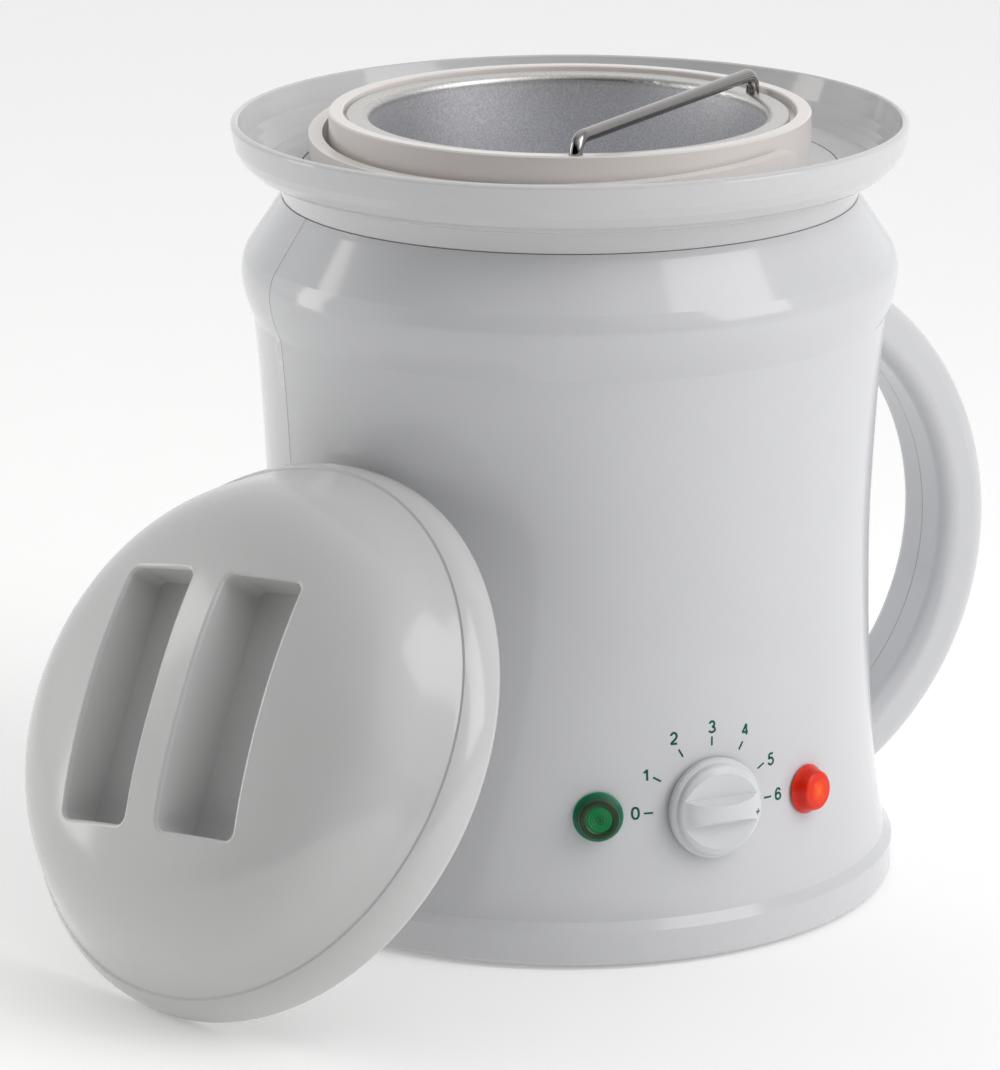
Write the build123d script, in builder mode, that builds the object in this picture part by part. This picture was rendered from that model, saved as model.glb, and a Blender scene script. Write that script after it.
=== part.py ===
"""Electric wax warmer pot: two-part casing with a mug handle, drip collar, lift-out wax pot and lid.

Units are millimetres. The origin is the centre of the base on the table, +Z is up, the control
panel faces -Y and the handle points along +X.
"""
from math import cos, radians, sin, sqrt
import os

from build123d import *

os.makedirs("parts", exist_ok=True)

# ---- casing --------------------------------------------------------------------------------------
WALL = 2.6                  # casing wall, measured radially
BASE_R = 103.3              # base band
CASING_BOTTOM = 1.2         # the rubber feet lift the casing clear of the table
CASING_TOP = 218.8
NECK_R = 89.6               # top edge that carries the collar
SEAM_DEPTH = 0.7
SEAM_GAP = 0.3
BOSS_AZ = (40, 140, 220, 320)
BOSS_PCR = 93.5

# ---- handle (a ring segment in the casing's joint plane) -----------------------------------------
HANDLE_X = 49.0
HANDLE_Z = 99.9
HANDLE_R_IN = 80.5
HANDLE_R_OUT = 96.3
HANDLE_W = 30.0
HANDLE_EDGE = 5.4
HANDLE_SPAN = 66.0          # degrees either side of horizontal
HANDLE_WALL = 2.4

# ---- control panel (perpendicular to the leaning casing wall) ------------------------------------
PANEL_TILT = 4.2
PANEL_Z = 46.9
PANEL_R = 97.2              # back of the knob skirt
LAMPS = ((-21.75, 96.82, 47.0), (21.9, 96.95, 45.2))   # azimuth, radius and height of each flange
KNOB_SKIRT_R = 15.5
KNOB_R = 14.0
POINTER = -9.0              # the pointer rests just past the last number
SHAFT_R = 3.0

# ---- collar --------------------------------------------------------------------------------------
PLUG_R = 86.7
COLLAR_HOLE_R = 83.4
COLLAR_FLOOR = 228.0
LIP_R = 104.9
LIP_Z = 242.6

# ---- carrier ring, bail, pot and scraper bar -----------------------------------------------------
RING_R = 74.6
RING_TOP = 245.2
RING_BORE_R = 70.1
LEDGE_Z = 242.2
PIVOT_AZ = 28.5
PIVOT_Z = 236.9
BAIL_R_IN = 76.5
BAIL_R_OUT = 80.8
BAIL_W = 8.3
BAIL_DROOP = 3.3            # degrees below level: the bail rests on the deck
PIN_R = 1.94
POT_OFFSET = (-0.55, 0.28)  # the pot stands to one side in its clearance
POT_R = 61.6                # mouth
POT_R_LOW = 59.6
POT_WALL = 1.2
POT_BOTTOM = 121.6
FLANGE_R = 68.6
FLANGE_TOP = 243.9
BAR_R = 2.1
BAR_Z = 250.0
BAR_NEAR = (-31.0, -64.8)
BAR_FAR = (65.4, 1.8)
BAR_BEND = 4.6

# ---- heating chamber -----------------------------------------------------------------------------
WELL_R = 65.2
WELL_WALL = 1.5
WELL_BOTTOM = 118.5
WELL_TOP = 221.6
WELL_FLANGE_R = 73.2
DECK_R = 83.1
DECK_TOP = 227.8
SHIELD_Z = 100.0
PILLAR_AZ = (30, 150, 270)
PILLAR_PCR = 77.2
PILLAR_R = 3.2
FLANGE_SCREW_AZ = (90, 210, 330)
FLANGE_SCREW_PCR = 70.7

# ---- base ----------------------------------------------------------------------------------------
COVER_BOTTOM = 2.6
COVER_TOP = 5.2
FOOT_AZ = (15, 105, 195, 285)
FOOT_PCR = 84.0
GLAND_Z = 27.0
GLAND_R = 5.2
CORD_R = 3.3

# ---- lid (leans on the casing with its low edge on the table) ------------------------------------
LID_AZ = -66.4
LID_DIST = 141.7
LID_Z = 75.15
LID_FACING = -70.7
LID_TILT = 30.4             # rise of the dome's axis
BAND_R = 83.5
BAND_ROUND = 3.0
GRIP_L = 78.0
GRIP_W = 27.5
GRIP_STRIP = 13.5
GRIP_FLOOR = 27.0
GRIP_TWIST = 7.5

WALL_POINTS = [
    (100.7, 14.6), (99.4, 22), (98.0, 32), (96.5, 48), (95.2, 70), (94.7, 95),
    (94.8, 118), (95.6, 140), (96.8, 162), (98.6, 182.2),
]
SHOULDER_POINTS = [
    (98.6, 182.2), (100.4, 186.6), (101.7, 191.4), (102.1, 196.0), (101.6, 199.8), (100.4, 202.8),
]


def polar(az, r):
    """Plan position at azimuth az (0 faces -Y, positive towards +X) and radius r."""
    return (r * sin(radians(az)), -r * cos(radians(az)))


def panel_plane(az, r, z):
    """Plane on the casing wall: faces outwards and tips up with the wall, its y axis up the wall."""
    x, y = polar(az, r)
    a = radians(az)
    t = radians(PANEL_TILT)
    out = (sin(a) * cos(t), -cos(a) * cos(t), sin(t))
    return Plane(origin=(x, y, z), x_dir=(cos(a), sin(a), 0), z_dir=out)


def turn(points, mode=Mode.ADD):
    """Revolve a closed (r, z) outline about the pot's axis."""
    with BuildSketch(Plane.XZ) as outline:
        with BuildLine():
            Polyline(*points, close=True)
        make_face()
    revolve(outline.sketch, axis=Axis.Z, mode=mode)


def turn_casing(inset, mode=Mode.ADD):
    """Everything inside the casing's outer surface, drawn in by inset."""
    with BuildSketch(Plane.XZ) as outline:
        with BuildLine():
            Polyline(
                (0, CASING_BOTTOM),
                (BASE_R - 1.4 - inset, CASING_BOTTOM),
                (BASE_R - inset, CASING_BOTTOM + 1.4),
                (BASE_R - inset, 11.8),
                (WALL_POINTS[0][0] - inset, WALL_POINTS[0][1]),
            )
            Spline(*[(r - inset, z) for r, z in WALL_POINTS])
            Spline(*[(r - inset, z) for r, z in SHOULDER_POINTS])
            Polyline(
                (SHOULDER_POINTS[-1][0] - inset, SHOULDER_POINTS[-1][1]),
                (90.9 - inset, 217.0),
                (NECK_R - inset, CASING_TOP),
                (0, CASING_TOP),
                (0, CASING_BOTTOM),
            )
        make_face()
    revolve(outline.sketch, axis=Axis.Z, mode=mode)


def turn_handle(inset, mode=Mode.ADD):
    """The handle's ring segment, its section drawn in by inset."""
    depth = HANDLE_R_OUT - HANDLE_R_IN
    reach = (HANDLE_R_OUT + HANDLE_R_IN) / 2
    a = radians(HANDLE_SPAN)
    start = Plane(
        origin=(HANDLE_X + reach * cos(a), 0, HANDLE_Z + reach * sin(a)),
        x_dir=(cos(a), 0, sin(a)),
        z_dir=(sin(a), 0, -cos(a)),
    )
    with BuildSketch(start) as section:
        RectangleRounded(depth - 2 * inset, HANDLE_W - 2 * inset, HANDLE_EDGE - inset)
    axis = Axis((HANDLE_X, 0, HANDLE_Z), (0, 1, 0))
    revolve(section.sketch, axis=axis, revolution_arc=2 * HANDLE_SPAN, mode=mode)


def stand(az, pcr, r, low, high, mode=Mode.ADD):
    """Upright cylinder of radius r at azimuth az on the pitch circle pcr, from low to high."""
    with BuildSketch(Plane.XY.offset(low)) as disc:
        with Locations(polar(az, pcr)):
            Circle(r)
    extrude(disc.sketch, amount=high - low, mode=mode)


# Hairline groove where the two casing halves meet, all round the casing and the handle.
with BuildPart() as seam:
    turn_casing(0)
    turn_handle(0)
    turn_casing(SEAM_DEPTH, Mode.SUBTRACT)
    turn_handle(SEAM_DEPTH, Mode.SUBTRACT)
    Box(400, SEAM_GAP, 500, mode=Mode.INTERSECT)


# ---- casing halves -------------------------------------------------------------------------------
def casing_half(side):
    """One moulded half with its half of the hollow handle; side is -1 in front and +1 behind."""
    with BuildPart() as half:
        turn_casing(0)
        turn_handle(0)
        turn_handle(HANDLE_WALL, Mode.SUBTRACT)
        turn_casing(WALL, Mode.SUBTRACT)
        for az in BOSS_AZ:
            stand(az, BOSS_PCR, 4.2, COVER_TOP, 30)
            stand(az, BOSS_PCR, 1.5, COVER_TOP, 18, Mode.SUBTRACT)
        add(seam.part, mode=Mode.SUBTRACT)
        with Locations((0, side * 150, 150)):
            Box(500, 300, 400, mode=Mode.INTERSECT)
        if side < 0:
            with BuildSketch(panel_plane(0, PANEL_R, PANEL_Z)):
                Circle(5.3)
                with Locations((-10, 0), (10, 0)):
                    Circle(1.6)
            extrude(amount=-9, mode=Mode.SUBTRACT)
            for lamp in LAMPS:
                with BuildSketch(panel_plane(*lamp)):
                    Circle(4.7)
                extrude(amount=-8, mode=Mode.SUBTRACT)
        else:
            with BuildSketch(Plane.XZ.offset(-110)):
                with Locations((0, GLAND_Z)):
                    Circle(GLAND_R + 1.0)
            extrude(amount=24, mode=Mode.SUBTRACT)
    return half


casing_front = casing_half(-1)
casing_rear = casing_half(1)

# ---- collar: plugs into the casing's top opening and widens into a drip dish ---------------------
with BuildPart() as collar:
    turn([
        (COLLAR_HOLE_R, COLLAR_FLOOR), (COLLAR_HOLE_R, 225.4), (84.0, 225.4), (84.0, 212.0),
        (PLUG_R - 0.6, 212.0), (PLUG_R, 213.0), (PLUG_R, 219.0), (89.2, 219.0), (90.0, 222.2),
        (91.0, 225.3), (95.9, 227.0), (99.4, 229.0), (102.2, 232.0), (103.8, 235.0),
        (104.4, 238.0), (LIP_R, LIP_Z - 1.1), (LIP_R - 0.1, LIP_Z - 0.7), (LIP_R - 0.5, LIP_Z - 0.35),
        (LIP_R - 1.3, LIP_Z), (LIP_R - 1.8, LIP_Z), (102.6, 242.2), (102.1, 240.0), (101.4, 237.6),
        (100.6, 235.0), (99.3, 232.4), (97.7, 230.2), (95.5, COLLAR_FLOOR),
    ])

# ---- carrier ring: stands on the deck, holds the pot by its flange, carries the bail -------------
with BuildPart() as carrier_ring:
    turn([
        (65.6, 222.0), (67.8, 222.0), (67.8, 238.6), (72.2, 238.6), (72.2, DECK_TOP + 0.1),
        (RING_R, DECK_TOP + 0.1), (RING_R, RING_TOP - 0.5), (RING_R - 0.5, RING_TOP),
        (RING_BORE_R + 0.4, RING_TOP), (RING_BORE_R, RING_TOP - 0.4), (RING_BORE_R, LEDGE_Z),
        (65.6, LEDGE_Z),
    ])
    for az in (PIVOT_AZ, PIVOT_AZ + 180):
        x, y = polar(az, 73.0)
        out = (sin(radians(az)), -cos(radians(az)), 0)
        with BuildSketch(Plane(origin=(x, y, PIVOT_Z), z_dir=out)):
            Circle(PIN_R)
        extrude(amount=79.0 - 73.0)
    with BuildSketch(Plane.XY.offset(RING_TOP - 2.0)):
        with Locations(BAR_NEAR):
            Circle(BAR_R + 0.06)
    extrude(amount=4, mode=Mode.SUBTRACT)

# ---- bail: half-round band on two radial pins ----------------------------------------------------
pin_dir = (sin(radians(PIVOT_AZ)), -cos(radians(PIVOT_AZ)), 0)
sweep_dir = (-cos(radians(PIVOT_AZ)), -sin(radians(PIVOT_AZ)), 0)
droop = radians(BAIL_DROOP)
bail_plane = Plane(
    origin=(0, 0, PIVOT_Z),
    x_dir=pin_dir,
    z_dir=(sweep_dir[0] * sin(droop), sweep_dir[1] * sin(droop), cos(droop)),
)
with BuildPart() as bail:
    with BuildSketch(bail_plane.offset(-BAIL_W / 2)):
        Circle(BAIL_R_OUT)
        Circle(BAIL_R_IN, mode=Mode.SUBTRACT)
        with Locations((0, BAIL_R_OUT)):
            Rectangle(2 * BAIL_R_OUT + 2, 2 * BAIL_R_OUT, mode=Mode.SUBTRACT)
    extrude(amount=BAIL_W)
    for side in (-1, 1):
        out = (pin_dir[0] * side, pin_dir[1] * side, 0)
        end = Plane(origin=(0, 0, PIVOT_Z), z_dir=out)
        with BuildSketch(end.offset(BAIL_R_IN + 0.05)):
            Circle(BAIL_W / 2)
        extrude(amount=BAIL_R_OUT - BAIL_R_IN - 0.1)
        with BuildSketch(end.offset(BAIL_R_IN - 1)):
            Circle(PIN_R + 0.06)
        extrude(amount=79.2 - BAIL_R_IN + 1, mode=Mode.SUBTRACT)

# ---- wax pot: tapered cup with a wide flange and a rolled inner edge -----------------------------
with BuildPart() as wax_pot:
    low_out = POT_R_LOW + POT_WALL
    top_out = POT_R + POT_WALL
    with BuildSketch(Plane.XZ):
        with BuildLine():
            Polyline(
                (0, POT_BOTTOM), (low_out - 5, POT_BOTTOM), (low_out - 1.5, POT_BOTTOM + 1.5),
                (low_out, POT_BOTTOM + 5), (top_out, LEDGE_Z), (FLANGE_R, LEDGE_Z),
                (FLANGE_R, FLANGE_TOP - 0.4), (FLANGE_R - 0.4, FLANGE_TOP),
                (POT_R + 2.2, FLANGE_TOP),
            )
            ThreePointArc((POT_R + 2.2, FLANGE_TOP), (POT_R + 0.6, FLANGE_TOP - 0.6),
                          (POT_R, FLANGE_TOP - 2.2))
            Polyline(
                (POT_R, FLANGE_TOP - 2.2), (POT_R_LOW, POT_BOTTOM + 5),
                (POT_R_LOW - 4.2, POT_BOTTOM + POT_WALL), (0, POT_BOTTOM + POT_WALL),
                (0, POT_BOTTOM),
            )
        make_face()
    revolve(axis=Axis.Z)
wax_pot.part = wax_pot.part.moved(Location((POT_OFFSET[0], POT_OFFSET[1], 0)))

# ---- scraper bar: bent rod, one foot in the carrier ring, the other on the pot's flange ----------
bar_len = sqrt((BAR_FAR[0] - BAR_NEAR[0]) ** 2 + (BAR_FAR[1] - BAR_NEAR[1]) ** 2)
bar_dir = ((BAR_FAR[0] - BAR_NEAR[0]) / bar_len, (BAR_FAR[1] - BAR_NEAR[1]) / bar_len, 0)
bar_plane = Plane(
    origin=(BAR_NEAR[0], BAR_NEAR[1], 0),
    x_dir=bar_dir,
    z_dir=(bar_dir[1], -bar_dir[0], 0),
)
with BuildPart() as scraper_bar:
    with BuildLine(bar_plane) as rod:
        Line((0, RING_TOP - 1.9), (0, BAR_Z - BAR_BEND))
        ThreePointArc(
            (0, BAR_Z - BAR_BEND),
            (BAR_BEND * (1 - sqrt(0.5)), BAR_Z - BAR_BEND * (1 - sqrt(0.5))),
            (BAR_BEND, BAR_Z),
        )
        Line((BAR_BEND, BAR_Z), (bar_len - BAR_BEND, BAR_Z))
        ThreePointArc(
            (bar_len - BAR_BEND, BAR_Z),
            (bar_len - BAR_BEND * (1 - sqrt(0.5)), BAR_Z - BAR_BEND * (1 - sqrt(0.5))),
            (bar_len, BAR_Z - BAR_BEND),
        )
        Line((bar_len, BAR_Z - BAR_BEND), (bar_len, FLANGE_TOP + 0.05))
    with BuildSketch(Plane(origin=(BAR_NEAR[0], BAR_NEAR[1], RING_TOP - 1.9), z_dir=(0, 0, 1))):
        Circle(BAR_R)
    sweep(path=rod.wires()[0])

# ---- heating well and what is fixed to it --------------------------------------------------------
with BuildPart() as heating_well:
    turn([
        (0, WELL_BOTTOM), (WELL_R + WELL_WALL - 2, WELL_BOTTOM), (WELL_R + WELL_WALL, WELL_BOTTOM + 2),
        (WELL_R + WELL_WALL, WELL_TOP - 1.5), (WELL_FLANGE_R, WELL_TOP - 1.5),
        (WELL_FLANGE_R, WELL_TOP), (WELL_R, WELL_TOP), (WELL_R, WELL_BOTTOM + 3),
        (WELL_R - 1.5, WELL_BOTTOM + WELL_WALL), (0, WELL_BOTTOM + WELL_WALL),
    ])
    for az in FLANGE_SCREW_AZ:
        stand(az, FLANGE_SCREW_PCR, 1.4, WELL_TOP - 3, WELL_TOP + 1, Mode.SUBTRACT)

with BuildPart() as band_heater:
    turn([(66.8, 126), (69.4, 126), (69.4, 166), (66.8, 166)])
    with Locations((0, 68, 146)):
        Box(4, 8, 44, mode=Mode.SUBTRACT)
    for side in (-1, 1):
        with Locations((side * 2.8, 73.6, 146)):
            Box(1.6, 10, 34)
    with BuildSketch(Plane.YZ.offset(-6)):
        with Locations((74.5, 146)):
            Circle(1.6)
    extrude(amount=12, mode=Mode.SUBTRACT)

with BuildPart() as band_clamp_bolt:
    for start, length, r in ((-5.2, 1.6, 3.0), (-3.6, 8.8, 1.5), (3.6, 1.6, 3.0)):
        with BuildSketch(Plane.YZ.offset(start)):
            with Locations((74.5, 146)):
                Circle(r)
        extrude(amount=length)

with BuildPart() as insulation_sleeve:
    turn([(66.9, 169), (72.8, 169), (72.8, 214), (66.9, 214)])

with BuildPart() as base_heater:
    turn([(22, 113.5), (52, 113.5), (52, WELL_BOTTOM), (22, WELL_BOTTOM)])

with BuildPart() as thermal_cutout:
    stand(180, 40, 7.5, 106.0, 113.5)
    with Locations((0, 40, 107.2)):
        Box(22, 5, 0.9)

with BuildPart() as sensor_bulb:
    with BuildSketch(Plane.YZ.offset(-15)):
        with Locations((0, WELL_BOTTOM - 2.6)):
            Circle(2.6)
    extrude(amount=30)
    with BuildLine() as tube:
        FilletPolyline(
            (15, 0, WELL_BOTTOM - 2.6), (18.4, 0, WELL_BOTTOM - 2.6), (19.4, -4, 109),
            (20, -20, 107), (8, -38, 104.5), (6.5, -41, 97), (2, -52, 74), (0, -58, 52),
            (0, -62.6, 50),
            radius=1.4,
        )
    with BuildSketch(Plane(origin=(15, 0, WELL_BOTTOM - 2.6), z_dir=(1, 0, 0))):
        Circle(0.8)
    sweep(path=tube.wires()[0])

with BuildPart() as bulb_clip:
    with BuildSketch(Plane.YZ.offset(-3)):
        with Locations((0, WELL_BOTTOM - 2.6)):
            Circle(3.6)
        with Locations((0, WELL_BOTTOM - 0.5)):
            Rectangle(18, 1.0)
        with Locations((0, WELL_BOTTOM - 2.6)):
            Circle(2.65, mode=Mode.SUBTRACT)
        with Locations((0, WELL_BOTTOM + 2)):
            Rectangle(20, 4, mode=Mode.SUBTRACT)
    extrude(amount=6)

# ---- support deck, heat shield and pillars -------------------------------------------------------
with BuildPart() as deck:
    turn([
        (68.2, WELL_TOP + 0.1), (73.4, WELL_TOP + 0.1), (73.4, 224.8), (80.7, 224.8), (80.7, 216),
        (DECK_R, 216), (DECK_R, DECK_TOP), (68.2, DECK_TOP),
    ])
    for az in FLANGE_SCREW_AZ:
        stand(az, FLANGE_SCREW_PCR, 1.4, WELL_TOP, 225.6, Mode.SUBTRACT)
    for az in PILLAR_AZ:
        stand(az, PILLAR_PCR, 1.5, 224, 226.9, Mode.SUBTRACT)

with BuildPart() as flange_screws:
    for az in FLANGE_SCREW_AZ:
        stand(az, FLANGE_SCREW_PCR, 2.4, WELL_TOP - 3.1, WELL_TOP - 1.5)
        stand(az, FLANGE_SCREW_PCR, 1.4, WELL_TOP - 1.5, 225.5)

with BuildPart() as upper_pillars:
    for az in PILLAR_AZ:
        stand(az, PILLAR_PCR, PILLAR_R, SHIELD_Z + 1.2, 224.8)
        stand(az, PILLAR_PCR, 1.5, 224.8, 226.8)
        stand(az, PILLAR_PCR, 1.5, SHIELD_Z - 5, SHIELD_Z + 1.2)

with BuildPart() as lower_pillars:
    for az in PILLAR_AZ:
        stand(az, PILLAR_PCR, PILLAR_R, COVER_TOP, SHIELD_Z)
        stand(az, PILLAR_PCR, 1.5, COVER_TOP, 18, Mode.SUBTRACT)
        stand(az, PILLAR_PCR, 1.5, SHIELD_Z - 6, SHIELD_Z, Mode.SUBTRACT)

with BuildPart() as heat_shield:
    with BuildSketch(Plane.XY.offset(SHIELD_Z)):
        Circle(84)
        for az in PILLAR_AZ:
            with Locations(polar(az, PILLAR_PCR)):
                Circle(1.6, mode=Mode.SUBTRACT)
        with Locations((6.5, -41)):
            Circle(6, mode=Mode.SUBTRACT)
        with Locations((-30, 55)):
            Circle(6, mode=Mode.SUBTRACT)
    extrude(amount=1.2)

# ---- base cover, feet and screws -----------------------------------------------------------------
with BuildPart() as base_cover:
    with BuildSketch(Plane.XY.offset(COVER_BOTTOM)):
        Circle(BASE_R - WALL - 0.3)
        for az in BOSS_AZ:
            with Locations(polar(az, BOSS_PCR)):
                Circle(1.6, mode=Mode.SUBTRACT)
        for az in PILLAR_AZ:
            with Locations(polar(az, PILLAR_PCR)):
                Circle(1.6, mode=Mode.SUBTRACT)
    extrude(amount=COVER_TOP - COVER_BOTTOM)
    for az in FOOT_AZ:
        stand(az, FOOT_PCR, 2.6, COVER_BOTTOM, COVER_TOP, Mode.SUBTRACT)
    with BuildSketch(Plane.XY.offset(COVER_BOTTOM)):
        with PolarLocations(34, 12):
            SlotCenterToCenter(12, 2.4)
    extrude(amount=COVER_TOP - COVER_BOTTOM, mode=Mode.SUBTRACT)

with BuildPart() as rubber_feet:
    for az in FOOT_AZ:
        stand(az, FOOT_PCR, 7.0, 0, COVER_BOTTOM)
        stand(az, FOOT_PCR, 2.5, COVER_BOTTOM, COVER_TOP + 1.5)
    stand(0, 0, 7.0, 0, COVER_BOTTOM)

with BuildPart() as base_screws:
    for az, pcr in [(a, BOSS_PCR) for a in BOSS_AZ] + [(a, PILLAR_PCR) for a in PILLAR_AZ]:
        stand(az, pcr, 2.8, COVER_BOTTOM - 1.3, COVER_BOTTOM)
        stand(az, pcr, 1.5, COVER_BOTTOM, 17)

# ---- cord gland in the rear wall -----------------------------------------------------------------
with BuildPart() as cord_gland:
    for r, back, front in ((8.0, 103.0, 100.6), (GLAND_R + 0.9, 100.6, 94.5), (8.0, 94.5, 92.5)):
        with BuildSketch(Plane.XZ.offset(-back)):
            with Locations((0, GLAND_Z)):
                Circle(r)
        extrude(amount=back - front)
    with BuildSketch(Plane.XZ.offset(-104)):
        with Locations((0, GLAND_Z)):
            Circle(CORD_R)
    extrude(amount=14, mode=Mode.SUBTRACT)

# ---- thermostat, its shaft and the knob ----------------------------------------------------------
knob_plane = panel_plane(0, PANEL_R, PANEL_Z)
with BuildPart() as thermostat:
    with BuildSketch(knob_plane.offset(-34)):
        RectangleRounded(34, 30, 2)
    extrude(amount=25)
    with BuildSketch(knob_plane.offset(-9)):
        Rectangle(28, 9)
    extrude(amount=4.3)
    with BuildSketch(knob_plane.offset(-9)):
        Circle(4.8)
    extrude(amount=9.4)
    with BuildSketch(knob_plane.offset(-14)):
        Circle(SHAFT_R + 0.05)
    extrude(amount=15, mode=Mode.SUBTRACT)
    with BuildSketch(knob_plane.offset(-9)):
        with Locations((-10, 0), (10, 0)):
            Circle(1.45)
    extrude(amount=5, mode=Mode.SUBTRACT)

with BuildPart() as thermostat_screws:
    for x in (-10, 10):
        with BuildSketch(knob_plane.offset(-8.5)):
            with Locations((x, 0)):
                Circle(1.4)
        extrude(amount=9.3)
        with BuildSketch(knob_plane.offset(-0.7)):
            with Locations((x, 0)):
                Circle(2.6)
        extrude(amount=1.5)

with BuildPart() as thermostat_shaft:
    with BuildSketch(knob_plane.offset(-13.8)):
        Circle(SHAFT_R)
    extrude(amount=18.8)
    with BuildSketch(knob_plane.offset(0.8)):
        with Locations((0, -3.7)):
            Rectangle(8, 3)
    extrude(amount=5, mode=Mode.SUBTRACT)

with BuildPart() as knob:
    ridge_plane = knob_plane.rotated((0, 0, POINTER))
    profile_plane = Plane(
        origin=knob_plane.origin,
        x_dir=knob_plane.x_dir,
        z_dir=-knob_plane.y_dir,
    )
    with BuildSketch(profile_plane):
        with BuildLine():
            Polyline(
                (0, 0.8), (5.6, 0.8), (5.6, 2.4), (13.0, 2.4), (13.0, 0), (KNOB_SKIRT_R, 0),
                (KNOB_SKIRT_R, 1.7), (KNOB_SKIRT_R - 0.6, 2.4), (KNOB_R + 0.2, 2.6), (KNOB_R, 4.2),
                (13.5, 4.8),
            )
            Spline((13.5, 4.8), (10.6, 6.9), (6.2, 8.6), (0, 9.3), tangents=[(-1, 0.6), (-1, 0)])
            Line((0, 9.3), (0, 0.8))
        make_face()
    revolve(axis=Axis(knob_plane.origin, knob_plane.z_dir))
    slope = radians(8)
    along = ridge_plane.x_dir * cos(slope) - ridge_plane.z_dir * sin(slope)
    with BuildSketch(Plane(origin=knob_plane.origin, x_dir=ridge_plane.y_dir, z_dir=along)):
        for side in (-1, 1):
            with BuildLine():
                Polyline(
                    (side * 2.4, 13), (side * 2.5, 8.9), (side * 4.2, 5.2), (side * 18, 6.9),
                    (side * 18, 13), close=True,
                )
            make_face()
    extrude(amount=18, both=True, mode=Mode.SUBTRACT)
    with BuildSketch(knob_plane.offset(0.7)):
        Circle(SHAFT_R + 0.02)
        with Locations((0, -3.72)):
            Rectangle(8, 3, mode=Mode.SUBTRACT)
    extrude(amount=4.4, mode=Mode.SUBTRACT)


# ---- indicator lamps -----------------------------------------------------------------------------
def lamp_lens(face):
    """Stepped cone lens with a flange outside the wall and a hollow neck through it."""
    with BuildPart() as lens:
        with BuildSketch(face):
            Circle(7.7)
        extrude(amount=0.9)
        with BuildSketch(face.offset(0.9)):
            Circle(7.5)
        with BuildSketch(face.offset(4.6)):
            Circle(5.5)
        loft()
        with BuildSketch(face.offset(-6)):
            Circle(4.4)
        extrude(amount=6)
        with BuildSketch(face.offset(3.2)):
            Circle(4.2)
        extrude(amount=2, mode=Mode.SUBTRACT)
        with BuildSketch(face.offset(-6)):
            Circle(3.2)
        extrude(amount=7.5, mode=Mode.SUBTRACT)
    return lens


lamp_lens_green = lamp_lens(panel_plane(*LAMPS[0]))
lamp_lens_red = lamp_lens(panel_plane(*LAMPS[1]))

with BuildPart() as lamp_nuts:
    for lamp in LAMPS:
        with BuildSketch(panel_plane(*lamp).offset(-5.8)):
            RegularPolygon(7.2, 6)
            Circle(4.45, mode=Mode.SUBTRACT)
        extrude(amount=1.8)

with BuildPart() as lamp_bodies:
    for lamp in LAMPS:
        face = panel_plane(*lamp)
        with BuildSketch(face.offset(-22)):
            Circle(4.4)
        extrude(amount=15.9)
        with BuildSketch(face.offset(-6.1)):
            Circle(2.6)
        extrude(amount=6)
        with BuildSketch(face.offset(-26)):
            with Locations((-1.8, 0), (1.8, 0)):
                Rectangle(0.6, 3)
        extrude(amount=4)

# ---- terminal block and wiring -------------------------------------------------------------------
with BuildPart() as terminal_block:
    with Locations((0, 58, COVER_TOP + 6)):
        Box(34, 16, 12)
    for x in (-11, 0, 11):
        with BuildSketch(Plane.XY.offset(COVER_TOP + 12)):
            with Locations((x, 58)):
                Circle(2.2)
        extrude(amount=-6, mode=Mode.SUBTRACT)
        with BuildSketch(Plane.XZ.offset(-66)):
            with Locations((x, COVER_TOP + 4)):
                Circle(1.6)
        extrude(amount=5, mode=Mode.SUBTRACT)
        with BuildSketch(Plane.XZ.offset(-50)):
            with Locations((x, COVER_TOP + 4)):
                Circle(1.6)
        extrude(amount=-5, mode=Mode.SUBTRACT)

WIRE_RUNS = [
    [(-11, 49.8, 8.6), (-11, 40, 9), (-14, 0, 14), (-10, -40, 26), (-8, -61.5, 38)],
    [(0, 49.8, 8.6), (0, 40, 9.5), (2, 0, 18), (4, -40, 30), (4, -61.5, 38)],
    [(11, 49.8, 8.6), (12, 40, 10), (22, 20, 24), (10, 30, 60), (-20, 50, 88), (-31, 56, 101),
     (-33, 66, 113), (-22, 75, 126), (-5.2, 75.5, 133)],
]
with BuildPart() as internal_wires:
    for run in WIRE_RUNS:
        with BuildLine() as wire:
            FilletPolyline(*run, radius=4)
        heading = Vector(*run[1]) - Vector(*run[0])
        with BuildSketch(Plane(origin=run[0], z_dir=heading)):
            Circle(1.1)
        sweep(path=wire.wires()[0])

# ---- lid -----------------------------------------------------------------------------------------
lid_x, lid_y = polar(LID_AZ, LID_DIST)
face_a = radians(LID_FACING)
tilt_a = radians(LID_TILT)
lid_plane = Plane(
    origin=(lid_x, lid_y, LID_Z),
    x_dir=(cos(face_a), sin(face_a), 0),
    z_dir=(sin(face_a) * cos(tilt_a), -cos(face_a) * cos(tilt_a), sin(tilt_a)),
)
LID_DOME = [
    (81.7, 11.8), (78.9, 16.3), (75.9, 21.5), (72.4, 26.7), (67.0, 32.2), (58.2, 37.1),
    (44.8, 41.3), (29.7, 44.2), (0, 45.8),
]
LID_HOLLOW = [
    (81.2, 4.0), (79.4, 11.4), (76.3, 16.0), (73.2, 20.8), (69.6, 25.6), (64.6, 30.4),
    (56.6, 34.8), (44.0, 38.8), (29.4, 41.6), (0, 43.2),
]
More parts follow.
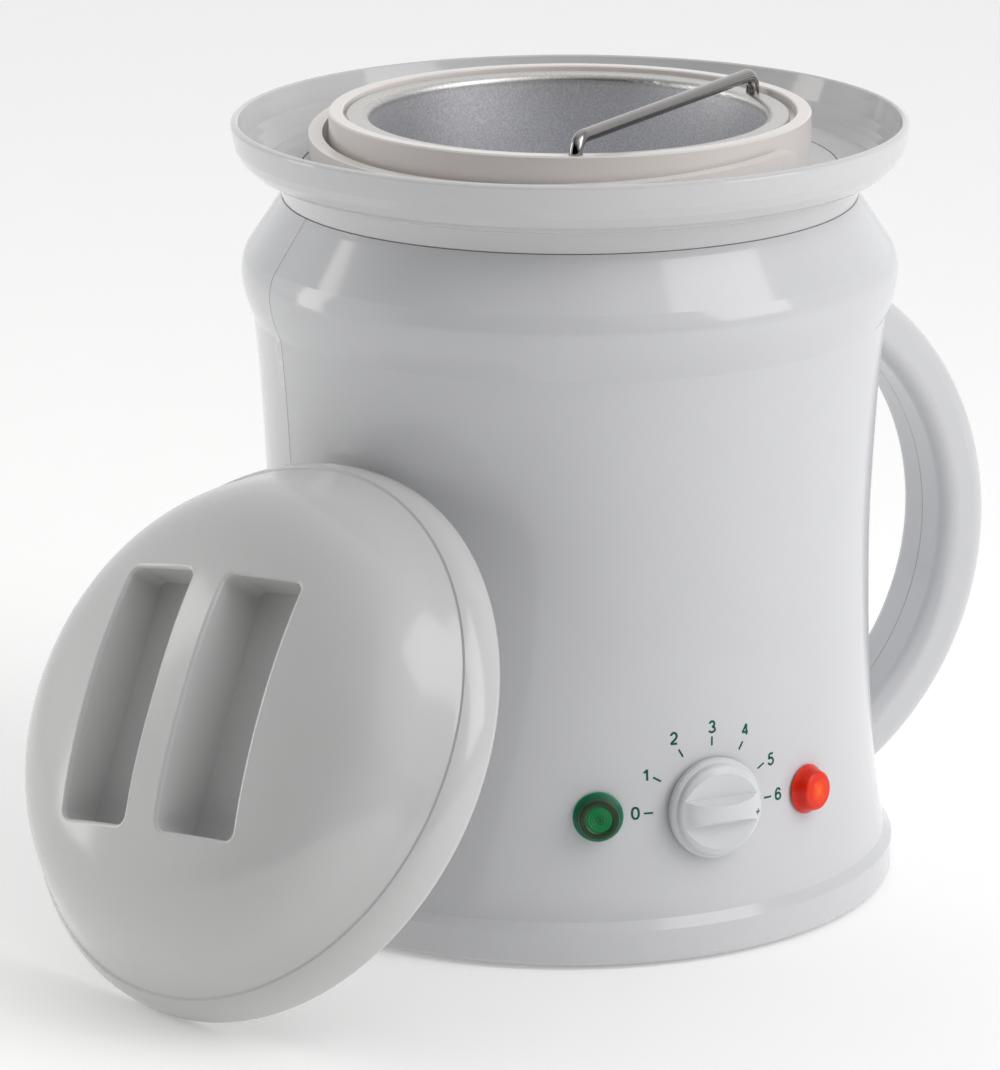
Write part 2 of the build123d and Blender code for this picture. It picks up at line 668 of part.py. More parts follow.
with BuildPart() as lid_shell:
    with BuildSketch(Plane.XZ):
        with BuildLine():
            ThreePointArc((81.2, -1.9), (BAND_R + 0.6, -2.9), (BAND_R + BAND_ROUND, 0.4))
            Spline((BAND_R + BAND_ROUND, 0.4), (86.0, 4.4), (84.7, 8.2), (82.9, 10.9))
            Polyline((82.9, 10.9), (82.1, 11.0), (81.7, 11.8))
            Spline(*LID_DOME, tangents=[(-0.5, 1), (-1, 0)])
            Polyline((0, 45.8), (0, 43.2))
            Spline(*reversed(LID_HOLLOW[1:]), tangents=[(1, 0), (0.5, -1)])
            Polyline((79.4, 11.4), (81.2, 4.0), (81.2, -1.9))
        make_face()
    revolve(axis=Axis.Z)
    slot_x = (GRIP_STRIP + GRIP_W) / 2
    with BuildSketch(Plane.XY.offset(GRIP_FLOOR - 2.2)):
        with Locations(Location((0, 0, 0), (0, 0, GRIP_TWIST))):
            with Locations((-slot_x, 0), (slot_x, 0)):
                Rectangle(GRIP_W + 3.4, GRIP_L + 3.4)
    extrude(amount=26)
    with BuildSketch(Plane.XZ):
        with BuildLine():
            Spline(*LID_DOME, tangents=[(-0.5, 1), (-1, 0)])
            Polyline((0, 45.8), (0, 70), (120, 70), (120, 11.8), (81.7, 11.8))
        make_face()
    revolve(axis=Axis.Z, mode=Mode.SUBTRACT)
    for x in (-slot_x, slot_x):
        with BuildSketch(Plane.XY.offset(GRIP_FLOOR)):
            with Locations(Location((0, 0, 0), (0, 0, GRIP_TWIST))):
                with Locations((x, 0)):
                    RectangleRounded(GRIP_W - 1.2, GRIP_L - 1.2, 2.4)
        extrude(amount=24, taper=-3, mode=Mode.SUBTRACT)
        mouth = lid_shell.edges(Select.LAST).filter_by(lambda edge: edge.center().Z > 40.5)
        fillet(mouth, 1.1)
lid_shell.part = lid_shell.part.moved(lid_plane.location)

NODES = {
    "casing_front": casing_front, "casing_rear": casing_rear, "collar": collar,
    "carrier_ring": carrier_ring, "bail": bail, "wax_pot": wax_pot, "scraper_bar": scraper_bar,
    "heating_well": heating_well, "band_heater": band_heater, "band_clamp_bolt": band_clamp_bolt,
    "insulation_sleeve": insulation_sleeve, "base_heater": base_heater,
    "thermal_cutout": thermal_cutout, "sensor_bulb": sensor_bulb, "bulb_clip": bulb_clip,
    "deck": deck, "flange_screws": flange_screws, "upper_pillars": upper_pillars,
    "lower_pillars": lower_pillars, "heat_shield": heat_shield, "base_cover": base_cover,
    "rubber_feet": rubber_feet, "base_screws": base_screws, "cord_gland": cord_gland,
    "thermostat": thermostat, "thermostat_screws": thermostat_screws,
    "thermostat_shaft": thermostat_shaft, "knob": knob, "lamp_lens_green": lamp_lens_green,
    "lamp_lens_red": lamp_lens_red, "lamp_nuts": lamp_nuts, "lamp_bodies": lamp_bodies,
    "terminal_block": terminal_block, "internal_wires": internal_wires, "lid_shell": lid_shell,
}
for name, built in NODES.items():
    built.part.label = name
    export_step(built.part, f"parts/{name}.step")
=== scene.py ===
"""Looks of the wax warmer pot: materials, printed dial, lamp lenses, knob mark, camera and studio."""
import math

import bmesh
import bpy
from mathutils import Matrix, Vector
from mathutils.bvhtree import BVHTree


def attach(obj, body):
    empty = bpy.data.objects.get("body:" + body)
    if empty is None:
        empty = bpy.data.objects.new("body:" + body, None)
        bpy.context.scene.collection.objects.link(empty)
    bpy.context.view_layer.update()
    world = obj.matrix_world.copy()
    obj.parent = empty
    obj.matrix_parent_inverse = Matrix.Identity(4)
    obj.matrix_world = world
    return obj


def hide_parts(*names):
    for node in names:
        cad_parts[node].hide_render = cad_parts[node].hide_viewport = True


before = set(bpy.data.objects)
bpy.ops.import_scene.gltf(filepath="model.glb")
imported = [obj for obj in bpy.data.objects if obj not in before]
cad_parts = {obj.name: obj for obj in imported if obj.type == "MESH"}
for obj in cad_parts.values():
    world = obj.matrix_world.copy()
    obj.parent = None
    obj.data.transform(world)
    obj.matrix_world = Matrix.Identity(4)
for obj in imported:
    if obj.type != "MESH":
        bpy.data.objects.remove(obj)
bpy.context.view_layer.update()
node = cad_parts
MM = 0.001

# printed dial, millimetres (x across the panel side, z up)
DIAL_CENTRE = (-0.45, 46.9)
FIRST_TICK = 179.3            # degrees, the tick at 0
TICK_STEP = 30.2              # degrees from one tick to the next
TICK_REACH = (19.1, 21.9)     # inner and outer radius of a tick
TICK_HALF = 0.29              # half the width of a tick
NUMERAL_PLACES = (
    (-24.9, 47.4), (-21.5, 59.0), (-12.5, 69.7), (0.2, 71.8), (11.9, 69.1), (21.6, 57.9), (24.2, 46.4),
)
NUMERAL_TALL = 3.4
NUMERAL_WIDE = 2.0
NUMERAL_HALF = 0.34           # half the width of a numeral's line
DIGIT_BOX = (1.0, 1.6)        # width and height of the box that DIGITS is drawn in
PRINT_LIFT = 0.06             # print stands this far off the wall
PRINT_SINK = 0.05             # and starts this far inside it
PANEL_SIDE = -0.3             # metres, a y in front of everything on the panel side

# the knob's cross mark, millimetres from the knob's axis along and across its grip
MARK_BARS = ((11.0, 13.0, -0.24, 0.24), (11.8, 12.3, -0.95, 0.95))
MARK_LIFT = 0.08
MARK_SINK = 0.1
MARK_START = 30.0             # height above the wall from which the grip's surface is sought

# places on the casing wall: degrees round the casing, radius and height in millimetres
KNOB_PLACE = (0.0, 97.2, 46.9)
GREEN_PLACE = (-21.75, 96.82, 47.0)
RED_PLACE = (21.9, 96.95, 45.2)
WALL_TILT = 4.2               # degrees that the wall faces upwards there
POINTER_TURN = -9.0           # degrees the knob's grip is turned from level

FLANGE_SHADE_BLEND = (0.2405, 0.2425)    # heights in metres: above them the pot's colour turns darker and warmer, painted shade on its flange
LENS_RAMP = 10.0              # millimetres from the lens axis at the end of its colour ramp
RELIEF_DEPTH = 0.0002         # metres

# camera, degrees and metres, before it is turned to its side of the pot
VIEW_AZIMUTH = -27.0
CAMERA_YAW = -0.773
CAMERA_PITCH = 15.72
CAMERA_ROLL = -0.11
CAMERA_BACK = 1.618
CAMERA_UP = 0.5635
SENSOR = 36.0
FOCAL = 5.320                 # focal length over the sensor's width

FLOOR_HALF = 6.0              # half the side of the square floor
AIM = (0.0, 0.0, 0.12)        # where the soft boxes point
# glow on the room's walls: azimuth from the camera's side and elevation of its middle in degrees,
# the cosines to that middle where it starts and where it is full, and its strength
WORLD = (
    (55, 40, 0.70, 1.0, 0.85),
    (90, 12, 0.70, 1.0, 0.5),
    (180, 14, 0.15, 0.95, 1.0),
    (-95, 10, 0.75, 1.0, 1.1),
    (20, 80, 0.60, 1.0, 0.55),
)
# soft boxes: name, azimuth, elevation, distance, width, height, watts, colour
BOXES = (
    ("key_right", 66, 34, 1.5, 0.8, 1.3, 8.0, (1.0, 0.98, 1.0)),
    ("rim_left", -98, 12, 1.5, 0.35, 1.2, 4.0, (1.0, 0.98, 0.94)),
)


# ---------------------------------------------------------------------------- materials
def shader(name, color, rough=0.3, metal=0.0, vary=0.02, vary_scale=40.0, rough_vary=0.04,
           bump=0.0, bump_scale=900.0, specular=0.5, emission=0.0):
    """Principled material whose colour, roughness and relief drift a little over the surface."""
    mat = bpy.data.materials.new(name)
    mat.use_nodes = True
    nt = mat.node_tree
    bsdf = nt.nodes["Principled BSDF"]
    coord = nt.nodes.new("ShaderNodeTexCoord")
    drift = nt.nodes.new("ShaderNodeTexNoise")
    drift.inputs["Scale"].default_value = vary_scale
    drift.inputs["Detail"].default_value = 4.0
    nt.links.new(coord.outputs["Object"], drift.inputs["Vector"])
    ramp = nt.nodes.new("ShaderNodeValToRGB")
    low = [max(0.0, c * (1.0 - vary)) for c in color]
    high = [min(1.0, c * (1.0 + vary)) for c in color]
    ramp.color_ramp.elements[0].position = 0.3
    ramp.color_ramp.elements[1].position = 0.7
    ramp.color_ramp.elements[0].color = (*low, 1.0)
    ramp.color_ramp.elements[1].color = (*high, 1.0)
    nt.links.new(drift.outputs["Fac"], ramp.inputs["Fac"])
    nt.links.new(ramp.outputs["Color"], bsdf.inputs["Base Color"])
    spread = nt.nodes.new("ShaderNodeMapRange")
    spread.inputs["To Min"].default_value = max(0.0, rough - rough_vary)
    spread.inputs["To Max"].default_value = min(1.0, rough + rough_vary)
    nt.links.new(drift.outputs["Fac"], spread.inputs["Value"])
    nt.links.new(spread.outputs["Result"], bsdf.inputs["Roughness"])
    bsdf.inputs["Metallic"].default_value = metal
    bsdf.inputs["Specular IOR Level"].default_value = specular
    if emission:
        nt.links.new(ramp.outputs["Color"], bsdf.inputs["Emission Color"])
        bsdf.inputs["Emission Strength"].default_value = emission
    if bump:
        grain = nt.nodes.new("ShaderNodeTexNoise")
        grain.inputs["Scale"].default_value = bump_scale
        grain.inputs["Detail"].default_value = 2.0
        nt.links.new(coord.outputs["Object"], grain.inputs["Vector"])
        relief = nt.nodes.new("ShaderNodeBump")
        relief.inputs["Strength"].default_value = bump
        relief.inputs["Distance"].default_value = RELIEF_DEPTH
        nt.links.new(grain.outputs["Fac"], relief.inputs["Height"])
        nt.links.new(relief.outputs["Normal"], bsdf.inputs["Normal"])
    return mat


def pot_shader():
    """Blasted aluminium: grainy grey inside, a little warmer and darker on the turned flange, where
    painted shade is laid on.
    """
    mat = shader("pot_aluminium", (0.86, 0.865, 0.91), 0.40, metal=1.0, vary=0.16, vary_scale=1500,
                 bump=0.35, bump_scale=2600)
    nt = mat.node_tree
    bsdf = nt.nodes["Principled BSDF"]
    grain = bsdf.inputs["Base Color"].links[0].from_socket
    coord = nt.nodes.new("ShaderNodeTexCoord")
    height = nt.nodes.new("ShaderNodeSeparateXYZ")
    nt.links.new(coord.outputs["Object"], height.inputs["Vector"])
    rim = nt.nodes.new("ShaderNodeMapRange")
    rim.inputs["From Min"].default_value = FLANGE_SHADE_BLEND[0]
    rim.inputs["From Max"].default_value = FLANGE_SHADE_BLEND[1]
    nt.links.new(height.outputs["Z"], rim.inputs["Value"])
    blend = nt.nodes.new("ShaderNodeMix")
    blend.data_type = "RGBA"
    blend.blend_type = "MULTIPLY"
    # sockets by number, because a mix node's names repeat: 0 factor, 6 and 7 colours, output 2
    # darker warm tint over the flange: painted shade
    blend.inputs[7].default_value = (0.70, 0.68, 0.64, 1.0)
    nt.links.new(rim.outputs["Result"], blend.inputs[0])
    nt.links.new(grain, blend.inputs[6])
    nt.links.new(blend.outputs[2], bsdf.inputs["Base Color"])
    return mat


M = {
    "casing": shader("casing_white", (0.63, 0.635, 0.65), 0.11, bump=0.03, bump_scale=250, vary=0.01),
    "collar": shader("collar_white", (0.635, 0.635, 0.64), 0.08, bump=0.03, bump_scale=250, vary=0.01),
    "ring": shader("ring_white", (0.79, 0.745, 0.71), 0.22, bump=0.05, vary=0.012),
    "lid": shader("lid_white", (0.59, 0.59, 0.585), 0.14, bump=0.03, bump_scale=250, vary=0.01),
    "deck": shader("deck_white", (0.60, 0.61, 0.60), 0.35, vary=0.015),
    "knob": shader("knob_white", (0.68, 0.69, 0.70), 0.30, bump=0.05, vary=0.012),
    "pot": pot_shader(),
    "well": shader("well_aluminium", (0.50, 0.50, 0.52), 0.40, metal=1.0, vary=0.04),
    # the chrome's dark base colour is painted reflection of a dark room, darkening the rod's core
    "chrome": shader("rod_chrome", (0.30, 0.29, 0.28), 0.06, metal=1.0, vary=0.02, rough_vary=0.02),
    "steel": shader("steel", (0.55, 0.55, 0.56), 0.32, metal=1.0, vary=0.04),
    "fibre": shader("glass_fibre", (0.62, 0.59, 0.52), 0.85, vary=0.08, bump=0.5),
    "cover": shader("cover_plastic", (0.55, 0.56, 0.56), 0.5, vary=0.02, bump=0.1),
    "rubber": shader("foot_rubber", (0.03, 0.03, 0.03), 0.7, vary=0.1, bump=0.2),
    "gland": shader("gland_plastic", (0.52, 0.53, 0.53), 0.4, vary=0.02),
    "case": shader("thermostat_case", (0.03, 0.03, 0.03), 0.5, vary=0.1),
    "copper": shader("bulb_copper", (0.60, 0.30, 0.18), 0.35, metal=1.0, vary=0.05),
    "lamp_body": shader("lamp_body", (0.6, 0.6, 0.58), 0.4, vary=0.02),
    "block": shader("block_plastic", (0.62, 0.60, 0.54), 0.45, vary=0.02),
    "wire": shader("wire_sleeve", (0.10, 0.12, 0.30), 0.45, vary=0.04),
    "print": shader("dial_print", (0.001, 0.105, 0.062), 0.45, vary=0.06, vary_scale=300, specular=0.2),
    # the plain CAD lenses, which moulded ones replace further down
    "green": shader("lens_green", (0.004, 0.16, 0.07), 0.10, vary=0.15, vary_scale=150),
    "red": shader("lens_red", (0.75, 0.03, 0.01), 0.12, vary=0.10, vary_scale=150),
}
FINISH = {
    "casing_front": "casing", "casing_rear": "casing", "collar": "collar", "carrier_ring": "ring",
    "bail": "ring", "wax_pot": "pot", "scraper_bar": "chrome", "heating_well": "well",
    "band_heater": "steel", "band_clamp_bolt": "steel", "insulation_sleeve": "fibre",
    "base_heater": "steel", "thermal_cutout": "case", "sensor_bulb": "copper",
    "bulb_clip": "steel", "deck": "deck", "flange_screws": "steel", "upper_pillars": "steel",
    "lower_pillars": "steel", "heat_shield": "well", "base_cover": "cover",
    "rubber_feet": "rubber", "base_screws": "steel", "cord_gland": "gland",
    "thermostat": "case", "thermostat_screws": "steel", "thermostat_shaft": "steel",
    "knob": "knob", "lamp_lens_green": "green", "lamp_lens_red": "red", "lamp_nuts": "gland",
    "lamp_bodies": "lamp_body", "terminal_block": "block", "internal_wires": "wire",
    "lid_shell": "lid",
}
for cad_name, key in FINISH.items():
    cad_mesh = node[cad_name].data
    cad_mesh.materials.clear()
    cad_mesh.materials.append(M[key])


# ---------------------------------------------------------------------------- geometry helpers
def panel(az, r, z):
    """Frame on the casing wall in metres: x along the wall, y up it, z outwards."""
    a, t = math.radians(az), math.radians(WALL_TILT)
    x = Vector((math.cos(a), math.sin(a), 0.0))
    out = Vector((math.sin(a) * math.cos(t), -math.cos(a) * math.cos(t), math.sin(t)))
    y = out.cross(x)
    at = Vector((r * math.sin(a), -r * math.cos(a), z)) * MM
    return Matrix((
        (x.x, y.x, out.x, at.x), (x.y, y.y, out.y, at.y), (x.z, y.z, out.z, at.z), (0, 0, 0, 1),
    ))


def mesh_of(bm, name):
    """Mesh from a finished bmesh, which is freed."""
    mesh = bpy.data.meshes.new(name)
    bm.to_mesh(mesh)
    bm.free()
    return mesh


def surface(name):
    """Search tree over a CAD piece's faces, to lay print on."""
    mesh = node[name].data
    return BVHTree.FromPolygons([v.co for v in mesh.vertices], [p.vertices for p in mesh.polygons])


def link(name, mesh, mat, body, place=None, smooth=True):
    """Object that rides on a body and fills a material slot."""
    obj = bpy.data.objects.new(name, mesh)
    if place is not None:
        obj.matrix_world = place
    bpy.context.scene.collection.objects.link(obj)
    mesh.materials.append(mat)
    if smooth:
        for poly in mesh.polygons:
            poly.use_smooth = True
    bpy.context.view_layer.update()
    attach(obj, body)
    return obj


def lathe(name, outline, mat, body, place, segments=96):
    """Solid of revolution about the frame's z axis from an (r, z) outline in millimetres."""
    bm = bmesh.new()
    rings = []
    for r, z in outline:
        if r < 1e-6:    # on the axis, one point stands for the whole ring
            rings.append([bm.verts.new((0.0, 0.0, z * MM))])
            continue
        ring = []
        for i in range(segments):
            a = 2 * math.pi * i / segments
            ring.append(bm.verts.new((r * math.cos(a) * MM, r * math.sin(a) * MM, z * MM)))
        rings.append(ring)
    for low, up in zip(rings, rings[1:]):
        for i in range(segments):
            j = (i + 1) % segments
            if len(low) == 1 and len(up) == 1:    # a step along the axis has no face
                continue
            if len(low) == 1:
                bm.faces.new((low[0], up[i], up[j]))
            elif len(up) == 1:
                bm.faces.new((low[i], up[0], low[j]))
            else:
                bm.faces.new((low[i], up[i], up[j], low[j]))
    bmesh.ops.recalc_face_normals(bm, faces=bm.faces)
    return link(name, mesh_of(bm, name), mat, body, place)


def slab(name, front, back, faces, body):
    """Thin printed shape between two matching lists of points; the faces index the points."""
    bm = bmesh.new()
    near = []
    far = []
    for p, q in zip(front, back):
        near.append(bm.verts.new(p))
        far.append(bm.verts.new(q))
    edges = {}
    for face in faces:
        bm.faces.new([near[i] for i in face])
        bm.faces.new([far[i] for i in reversed(face)])
        for a, b in zip(face, face[1:] + face[:1]):
            edges[(a, b)] = True
    for a, b in edges:
        if (b, a) not in edges:
            bm.faces.new((near[b], near[a], far[a], far[b]))
    bmesh.ops.recalc_face_normals(bm, faces=bm.faces)
    link(name, mesh_of(bm, name), M["print"], body, smooth=False)


def arc(cx, cz, r, a0, a1, n=6):
    """Points on a circular arc, angles in degrees."""
    pts = []
    for i in range(n + 1):
        a = math.radians(a0 + (a1 - a0) * i / n)
        pts.append((cx + r * math.cos(a), cz + r * math.sin(a)))
    return pts


# ---------------------------------------------------------------------------- printed dial
def stamp(name, flat, faces, wall):
    """Printed shape: flat (x, z) points in millimetres laid on the front of the wall."""
    front = []
    back = []
    for x, z in flat:
        hit = wall.ray_cast(Vector((x * MM, PANEL_SIDE, z * MM)), Vector((0.0, 1.0, 0.0)))[0]
        front.append((x * MM, hit.y - PRINT_LIFT * MM, z * MM))
        back.append((x * MM, hit.y + PRINT_SINK * MM, z * MM))
    slab(name, front, back, faces, "base")


def loop(cx, cz, rx, rz, a0=0.0, a1=360.0, n=24, power=1.0):
    """Points on an elliptical arc; a power under 1 makes it squarer."""
    pts = []
    for i in range(n + 1):
        a = math.radians(a0 + (a1 - a0) * i / n)
        c, s = math.cos(a), math.sin(a)
        pts.append((
            cx + rx * math.copysign(abs(c) ** power, c), cz + rz * math.copysign(abs(s) ** power, s),
        ))
    return pts


# centre lines of the numerals 0 to 6 in their box, each a tuple of lines of points
DIGITS = (
    (loop(0.5, 0.8, 0.5, 0.8, 90, 450, 32, 0.85),),
    (((0.72, 0.0), (0.72, 1.6)), ((0.72, 1.6), (0.56, 1.34), (0.22, 1.16))),
    (loop(0.49, 1.12, 0.45, 0.48, 170, -30, 16) + [(0.62, 0.55), (0.25, 0.28), (0.03, 0.0)],
     ((-0.03, 0.0), (1.0, 0.0))),
    (loop(0.46, 1.19, 0.41, 0.41, 165, -90, 16), loop(0.46, 0.39, 0.50, 0.39, 90, -165, 18)),
    (((0.74, 0.0), (0.74, 1.6)), ((0.74, 1.6), (0.0, 0.42)), ((0.0, 0.42), (1.02, 0.42))),
    (((0.94, 1.6), (0.26, 1.6)), ((0.22, 1.6), (0.12, 0.82)),
     loop(0.47, 0.50, 0.50, 0.50, 135, -160, 20)),
    (loop(0.5, 0.47, 0.48, 0.47, 0, 360, 24),
     [(0.02, 0.47)] + loop(0.52, 0.80, 0.50, 0.80, 180, 35, 16)),
)


def stroke(pts, half):
    """Points and quads of a band of constant width along a line, joined up if the line is closed."""
    closed = math.dist(pts[0], pts[-1]) < 1e-6
    if closed:
        pts = pts[:-1]
    n = len(pts)
    flat = []
    for i, p in enumerate(pts):
        before = pts[i - 1] if i or closed else p
        after = pts[(i + 1) % n] if i < n - 1 or closed else p
        d = Vector((after[0] - before[0], after[1] - before[1])).normalized()
        flat.append((p[0] - d.y * half, p[1] + d.x * half))
        flat.append((p[0] + d.y * half, p[1] - d.x * half))
    count = n if closed else n - 1
    quads = []
    for i in range(count):
        j = (i + 1) % n
        quads.append([2 * i, 2 * i + 1, 2 * j + 1, 2 * j])
    return flat, quads


def dial():
    """Seven numerals, each with a tick towards the knob."""
    wall = surface("casing_front")
    cx, cz = DIAL_CENTRE
    box_wide, box_tall = DIGIT_BOX
    for k, (x, z) in enumerate(NUMERAL_PLACES):
        flat, faces = [], []
        for line in DIGITS[k]:
            pts = [
                (x + (p[0] - box_wide / 2) * NUMERAL_WIDE,
                 z + (p[1] - box_tall / 2) * NUMERAL_TALL / box_tall)
                for p in line
            ]
            band, quads = stroke(pts, NUMERAL_HALF)
            faces += [[i + len(flat) for i in q] for q in quads]
            flat += band
        stamp(f"dial_number_{k}", flat, faces, wall)
        a = math.radians(FIRST_TICK - TICK_STEP * k)
        ends = [(cx + r * math.cos(a), cz + r * math.sin(a)) for r in TICK_REACH]
        flat, faces = stroke(ends, TICK_HALF)
        stamp(f"dial_tick_{k}", flat, faces, wall)


# ---------------------------------------------------------------------------- lamp lenses
def radial_shader(name, stops, rough, emission):
    """Glossy plastic that glows a little; stops are (millimetres from the lens axis, colour)."""
    mat = bpy.data.materials.new(name)
    mat.use_nodes = True
    nt = mat.node_tree
    bsdf = nt.nodes["Principled BSDF"]
    coord = nt.nodes.new("ShaderNodeTexCoord")
    flat = nt.nodes.new("ShaderNodeVectorMath")
    flat.operation = "MULTIPLY"
    flat.inputs[1].default_value = (1.0, 1.0, 0.0)
    nt.links.new(coord.outputs["Object"], flat.inputs[0])
    reach = nt.nodes.new("ShaderNodeVectorMath")
    reach.operation = "LENGTH"
    nt.links.new(flat.outputs["Vector"], reach.inputs[0])
    scale = nt.nodes.new("ShaderNodeMath")
    scale.operation = "MULTIPLY"
    scale.inputs[1].default_value = 1.0 / (LENS_RAMP * MM)
    nt.links.new(reach.outputs["Value"], scale.inputs[0])
    ramp = nt.nodes.new("ShaderNodeValToRGB")
    while len(ramp.color_ramp.elements) < len(stops):
        ramp.color_ramp.elements.new(0.5)
    for el, (r, color) in zip(ramp.color_ramp.elements, stops):
        el.position = r / LENS_RAMP
        el.color = (*color, 1.0)
    nt.links.new(scale.outputs["Value"], ramp.inputs["Fac"])
    nt.links.new(ramp.outputs["Color"], bsdf.inputs["Base Color"])
    nt.links.new(ramp.outputs["Color"], bsdf.inputs["Emission Color"])
    bsdf.inputs["Emission Strength"].default_value = emission
    bsdf.inputs["Roughness"].default_value = rough
    bsdf.inputs["Specular IOR Level"].default_value = 0.3
    return mat


def lamps():
    """Moulded lenses with stepped flanges and ringed centres, in place of the plain CAD lenses."""
    green = radial_shader("lens_green_moulded", [
        (0.0, (0.002, 0.090, 0.022)), (1.6, (0.002, 0.17, 0.045)), (3.6, (0.003, 0.20, 0.055)),
        (4.25, (0.010, 0.055, 0.018)), (5.0, (0.018, 0.036, 0.012)), (6.0, (0.016, 0.042, 0.014)),
        (6.7, (0.002, 0.12, 0.05)), (7.7, (0.001, 0.17, 0.085)),
    ], 0.22, 0.06)
    # the red lens's orange-yellow centre is a painted highlight, which the lens's glow carries too
    red = radial_shader("lens_red_moulded", [
        (0.0, (0.95, 0.16, 0.010)), (1.6, (0.90, 0.085, 0.006)), (2.6, (0.86, 0.060, 0.006)),
        (4.2, (0.72, 0.020, 0.004)), (5.4, (0.74, 0.030, 0.006)), (6.6, (0.62, 0.012, 0.004)),
        (7.7, (0.72, 0.030, 0.008)),
    ], 0.22, 0.10)
    # outlines are (radius, height above the wall); rings are the fine grooves in the centre
    neck = [(3.2, -5.5), (4.35, -5.5), (4.35, 0.0), (7.3, 0.0)]
    flange = arc(7.3, 0.4, 0.4, -90, 60, 6)
    rings = []
    for r in (3.3, 2.5, 1.7, 0.9):
        rings += [(r + 0.25, 0.12), (r, 0.27), (r - 0.25, 0.12), (r - 0.4, 0.0)]
    bore = [(0.0, 2.6), (3.2, 2.0), (3.2, -5.5)]
    # the green lens has a raised rim round a sunk centre, the red one is a plain rounded cone
    outlines = {
        "green": neck + flange + [(7.0, 1.0), (6.6, 1.15)] + arc(5.4, 3.9, 0.75, 10, 80, 6)
        + [(4.7, 4.62), (4.35, 4.5), (4.1, 4.15), (3.7, 4.05)]
        + [(r, z + 4.08) for r, z in rings] + [(0.0, 4.25)] + bore,
        "red": neck + flange + [(7.15, 1.3), (6.75, 2.4), (6.3, 3.5)] + arc(5.0, 3.75, 1.2, 15, 88, 8)
        + [(4.4, 4.97), (3.7, 5.0)] + [(r, z + 4.95) for r, z in rings] + [(0.0, 5.1)] + bore,
    }
    for name, place, mat, cad in (
        ("green", GREEN_PLACE, green, "lamp_lens_green"),
        ("red", RED_PLACE, red, "lamp_lens_red"),
    ):
        lens = lathe(f"lens_{name}", outlines[name], mat, "base", panel(*place))
        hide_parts(cad)


# ---------------------------------------------------------------------------- mark on the knob
def pointer():
    """Small printed cross mark near the end of the knob's grip."""
    place = panel(*KNOB_PLACE) @ Matrix.Rotation(math.radians(POINTER_TURN), 4, "Z")
    knob = surface("knob")
    out = (place.to_3x3() @ Vector((0.0, 0.0, 1.0))).normalized()
    for n, (x0, x1, y0, y1) in enumerate(MARK_BARS):
        front = []
        back = []
        for x, y in ((x0, y0), (x1, y0), (x1, y1), (x0, y1)):
            start = place @ Vector((x * MM, y * MM, MARK_START * MM))
            hit = knob.ray_cast(start, -out)[0]
            front.append(hit + out * MARK_LIFT * MM)
            back.append(hit - out * MARK_SINK * MM)
        slab(f"pointer_mark_{n}", front, back, [[0, 1, 2, 3]], "knob_body")


# ---------------------------------------------------------------------------- camera
def camera():
    """The photograph's viewpoint: 27 degrees to the left of the panel, looking slightly down."""
    yaw = math.radians(CAMERA_YAW)
    pitch = math.radians(CAMERA_PITCH)
    roll = math.radians(CAMERA_ROLL)
    level = math.cos(pitch)
    ahead = Vector((math.sin(yaw) * level, math.cos(yaw) * level, -math.sin(pitch)))
    right = Vector((math.cos(yaw), -math.sin(yaw), 0.0))
    up = right.cross(ahead)
    r = math.cos(roll) * right + math.sin(roll) * up
    u = -math.sin(roll) * right + math.cos(roll) * up
    turn = Matrix.Rotation(math.radians(VIEW_AZIMUTH), 4, "Z")
    place = Matrix((
        (r.x, u.x, -ahead.x, 0.0),
        (r.y, u.y, -ahead.y, -CAMERA_BACK),
        (r.z, u.z, -ahead.z, CAMERA_UP),
        (0.0, 0.0, 0.0, 1.0),
    ))
    data = bpy.data.cameras.new("photo_camera")
    data.sensor_fit = "HORIZONTAL"
    data.sensor_width = SENSOR
    data.lens = SENSOR * FOCAL
    data.clip_start = 0.05
    data.clip_end = 20.0
    cam = bpy.data.objects.new("photo_camera", data)
    cam.matrix_world = turn @ place
    bpy.context.scene.collection.objects.link(cam)
    bpy.context.scene.camera = cam


# ---------------------------------------------------------------------------- light and floor
def toward(azimuth, elevation):
    """Direction from the pot; azimuth 0 is the camera's side, positive to the camera's right."""
    a = math.radians(azimuth + VIEW_AZIMUTH)
    e = math.radians(elevation)
    return Vector((math.sin(a) * math.cos(e), -math.cos(a) * math.cos(e), math.sin(e)))


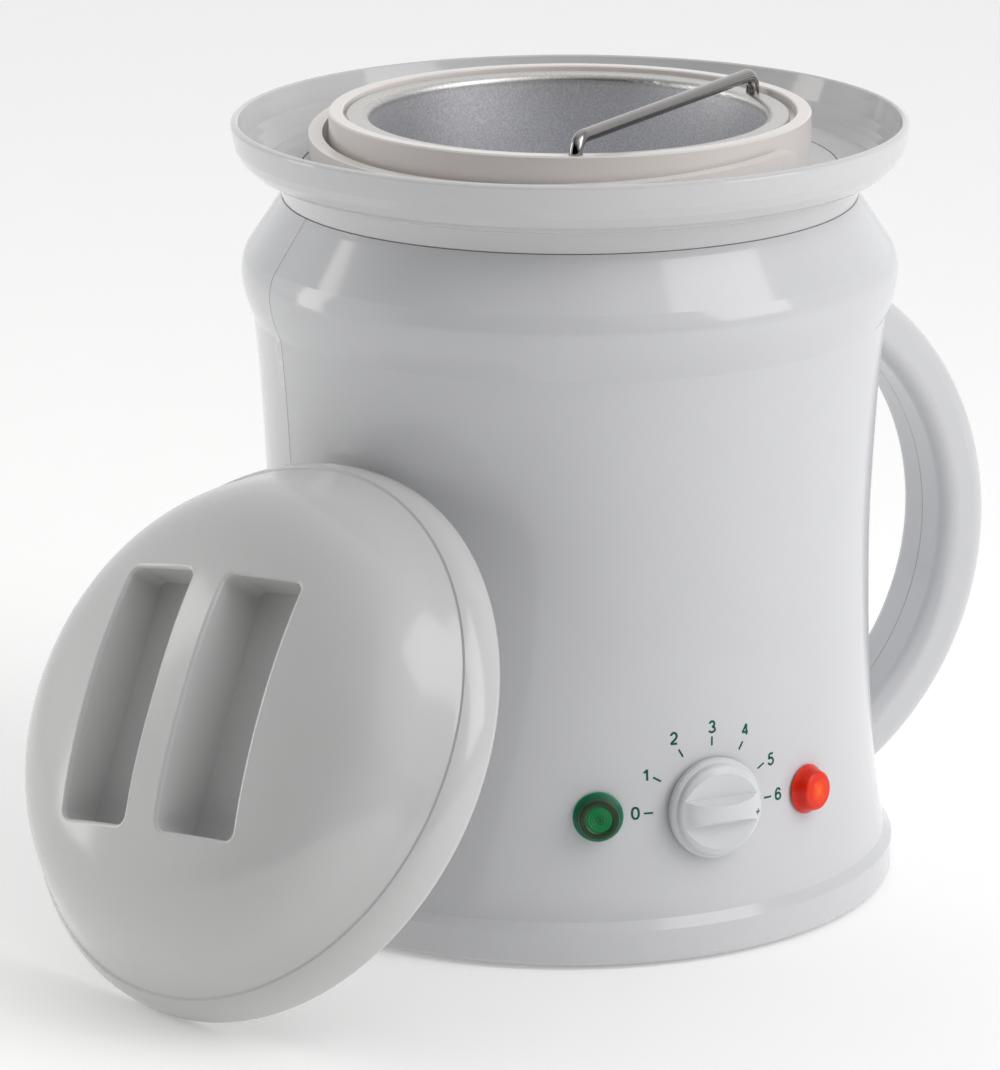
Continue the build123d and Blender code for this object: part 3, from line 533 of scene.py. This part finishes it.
def area(name, azimuth, elevation, distance, width, height, power, tone):
    """Soft box aimed at the pot."""
    aim = Vector(AIM)
    spot = aim + distance * toward(azimuth, elevation)
    data = bpy.data.lights.new(name, "AREA")
    data.shape = "RECTANGLE"
    data.size = width
    data.size_y = height
    data.energy = power
    data.color = tone
    lamp = bpy.data.objects.new(name, data)
    lamp.location = spot
    lamp.rotation_euler = (aim - spot).to_track_quat("-Z", "Y").to_euler()
    bpy.context.scene.collection.objects.link(lamp)


def studio():
    """Room lit by soft glows on its walls and two soft boxes, with a plain pale floor."""
    world = bpy.data.worlds.new("studio")
    scene = bpy.context.scene
    scene.world = world
    scene.view_settings.view_transform = "Standard"
    world.use_nodes = True
    nt = world.node_tree
    sky = nt.nodes["Background"]
    coord = nt.nodes.new("ShaderNodeTexCoord")
    total = None
    for azimuth, elevation, low, high, power in WORLD:
        side = nt.nodes.new("ShaderNodeVectorMath")
        side.operation = "DOT_PRODUCT"
        side.inputs[1].default_value = toward(azimuth, elevation)
        nt.links.new(coord.outputs["Generated"], side.inputs[0])
        glow = nt.nodes.new("ShaderNodeMapRange")
        glow.interpolation_type = "SMOOTHSTEP"
        glow.inputs["From Min"].default_value = low
        glow.inputs["From Max"].default_value = high
        glow.inputs["To Min"].default_value = 0.0
        glow.inputs["To Max"].default_value = power
        nt.links.new(side.outputs["Value"], glow.inputs["Value"])
        if total is None:
            total = glow.outputs["Result"]
        else:
            add = nt.nodes.new("ShaderNodeMath")
            nt.links.new(total, add.inputs[0])
            nt.links.new(glow.outputs["Result"], add.inputs[1])
            total = add.outputs["Value"]
    nt.links.new(total, sky.inputs["Strength"])
    sky.inputs["Color"].default_value = (0.985, 0.99, 1.0, 1.0)
    for box in BOXES:
        area(*box)
    bm = bmesh.new()
    bmesh.ops.create_grid(bm, x_segments=1, y_segments=1, size=FLOOR_HALF)
    floor = bpy.data.objects.new("floor", mesh_of(bm, "floor"))
    scene.collection.objects.link(floor)
    pale = shader("floor_white", (0.90, 0.90, 0.89), 0.9, vary=0.004, specular=0.1, emission=0.22)
    floor.data.materials.append(pale)


dial()
lamps()
pointer()
camera()
studio()
